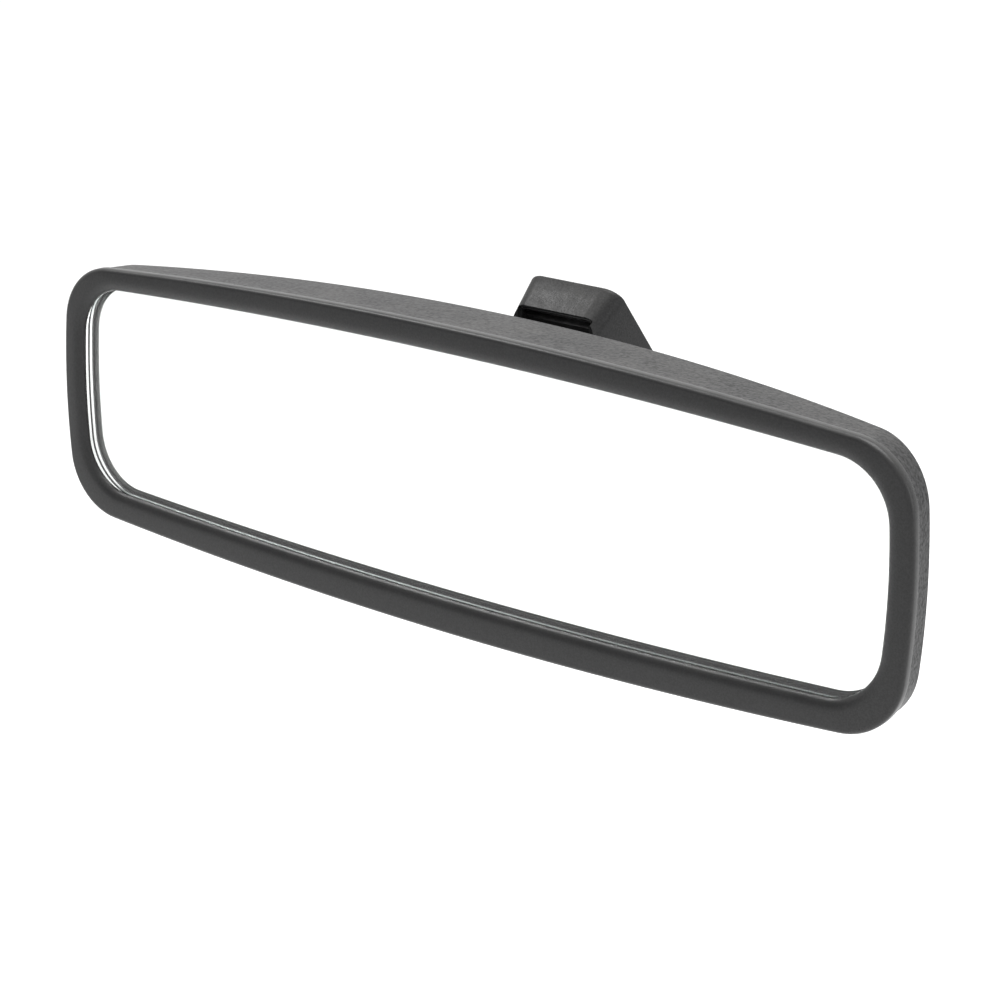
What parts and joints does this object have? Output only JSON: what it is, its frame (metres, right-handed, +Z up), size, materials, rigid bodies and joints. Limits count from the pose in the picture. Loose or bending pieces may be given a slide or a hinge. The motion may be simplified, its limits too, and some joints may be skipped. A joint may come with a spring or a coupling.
{
  "type": "interior rearview mirror",
  "caption": "Car interior mirror: framed glass in a bowed housing, held by a ball joint on a foot that slides onto a windscreen button.",
  "frame": {"origin": "centre of the foot's windscreen face, in the mouth of the button channel", "axes": "+X along the head, the glass faces -Y, +Z up"},
  "size_m": [0.236, 0.0689, 0.071],
  "materials": {
    "housing_plastic": "fine moulded grain",
    "bezel_plastic": "fine moulded grain, satin edges",
    "clear_glass": "float glass with ground edge",
    "mirror_silver": "silvered",
    "black_film": "smooth film",
    "grey_foam": "open foam",
    "spring_steel": "rolled",
    "zinc_plated_steel": "bright zinc",
    "natural_acetal": "moulded",
    "turned_steel": "turned, dark nickel",
    "foot_nylon": "glass-filled nylon",
    "cover_plastic": "fine moulded grain",
    "cast_channel": "die-cast",
    "insert_brass": "knurled, turned",
    "blackened_steel": "black oxide"
  },
  "bodies": {
    "foot": {"ball_stud": "turned_steel", "stud_washer": "zinc_plated_steel", "stud_nut": "zinc_plated_steel", "foot_body": "foot_nylon", "foot_cover": "cover_plastic", "button_channel": "cast_channel", "channel_screws": "zinc_plated_steel", "button_spring": "spring_steel", "clamp_insert": "insert_brass", "clamp_screw": "blackened_steel"},
    "rear_seat": {"rear_ball_seat": "natural_acetal"},
    "front_seat": {"front_ball_seat": "natural_acetal"},
    "head": {"rear_housing": "housing_plastic", "front_bezel": "bezel_plastic", "mirror_glass": "clear_glass", "silver_coating": "mirror_silver", "safety_film": "black_film", "foam_strips": "grey_foam", "ball_clamp_plate": "spring_steel", "clamp_plate_screws": "zinc_plated_steel"}
  },
  "joints": [
    {"name": "head_yaw", "type": "hinge", "parent": "foot", "child": "rear_seat", "pos_m": [0, -0.0405, -0.0246], "axis": [0, 0, 1], "range_deg": [-20, 20]},
    {"name": "head_pitch", "type": "hinge", "parent": "rear_seat", "child": "front_seat", "pos_m": [0, -0.0405, -0.0246], "axis": [1, 0, 0], "range_deg": [-15, 15]},
    {"name": "head_roll", "type": "hinge", "parent": "front_seat", "child": "head", "pos_m": [0, -0.0405, -0.0246], "axis": [0, 1, 0], "range_deg": [-10, 10]}
  ]
}
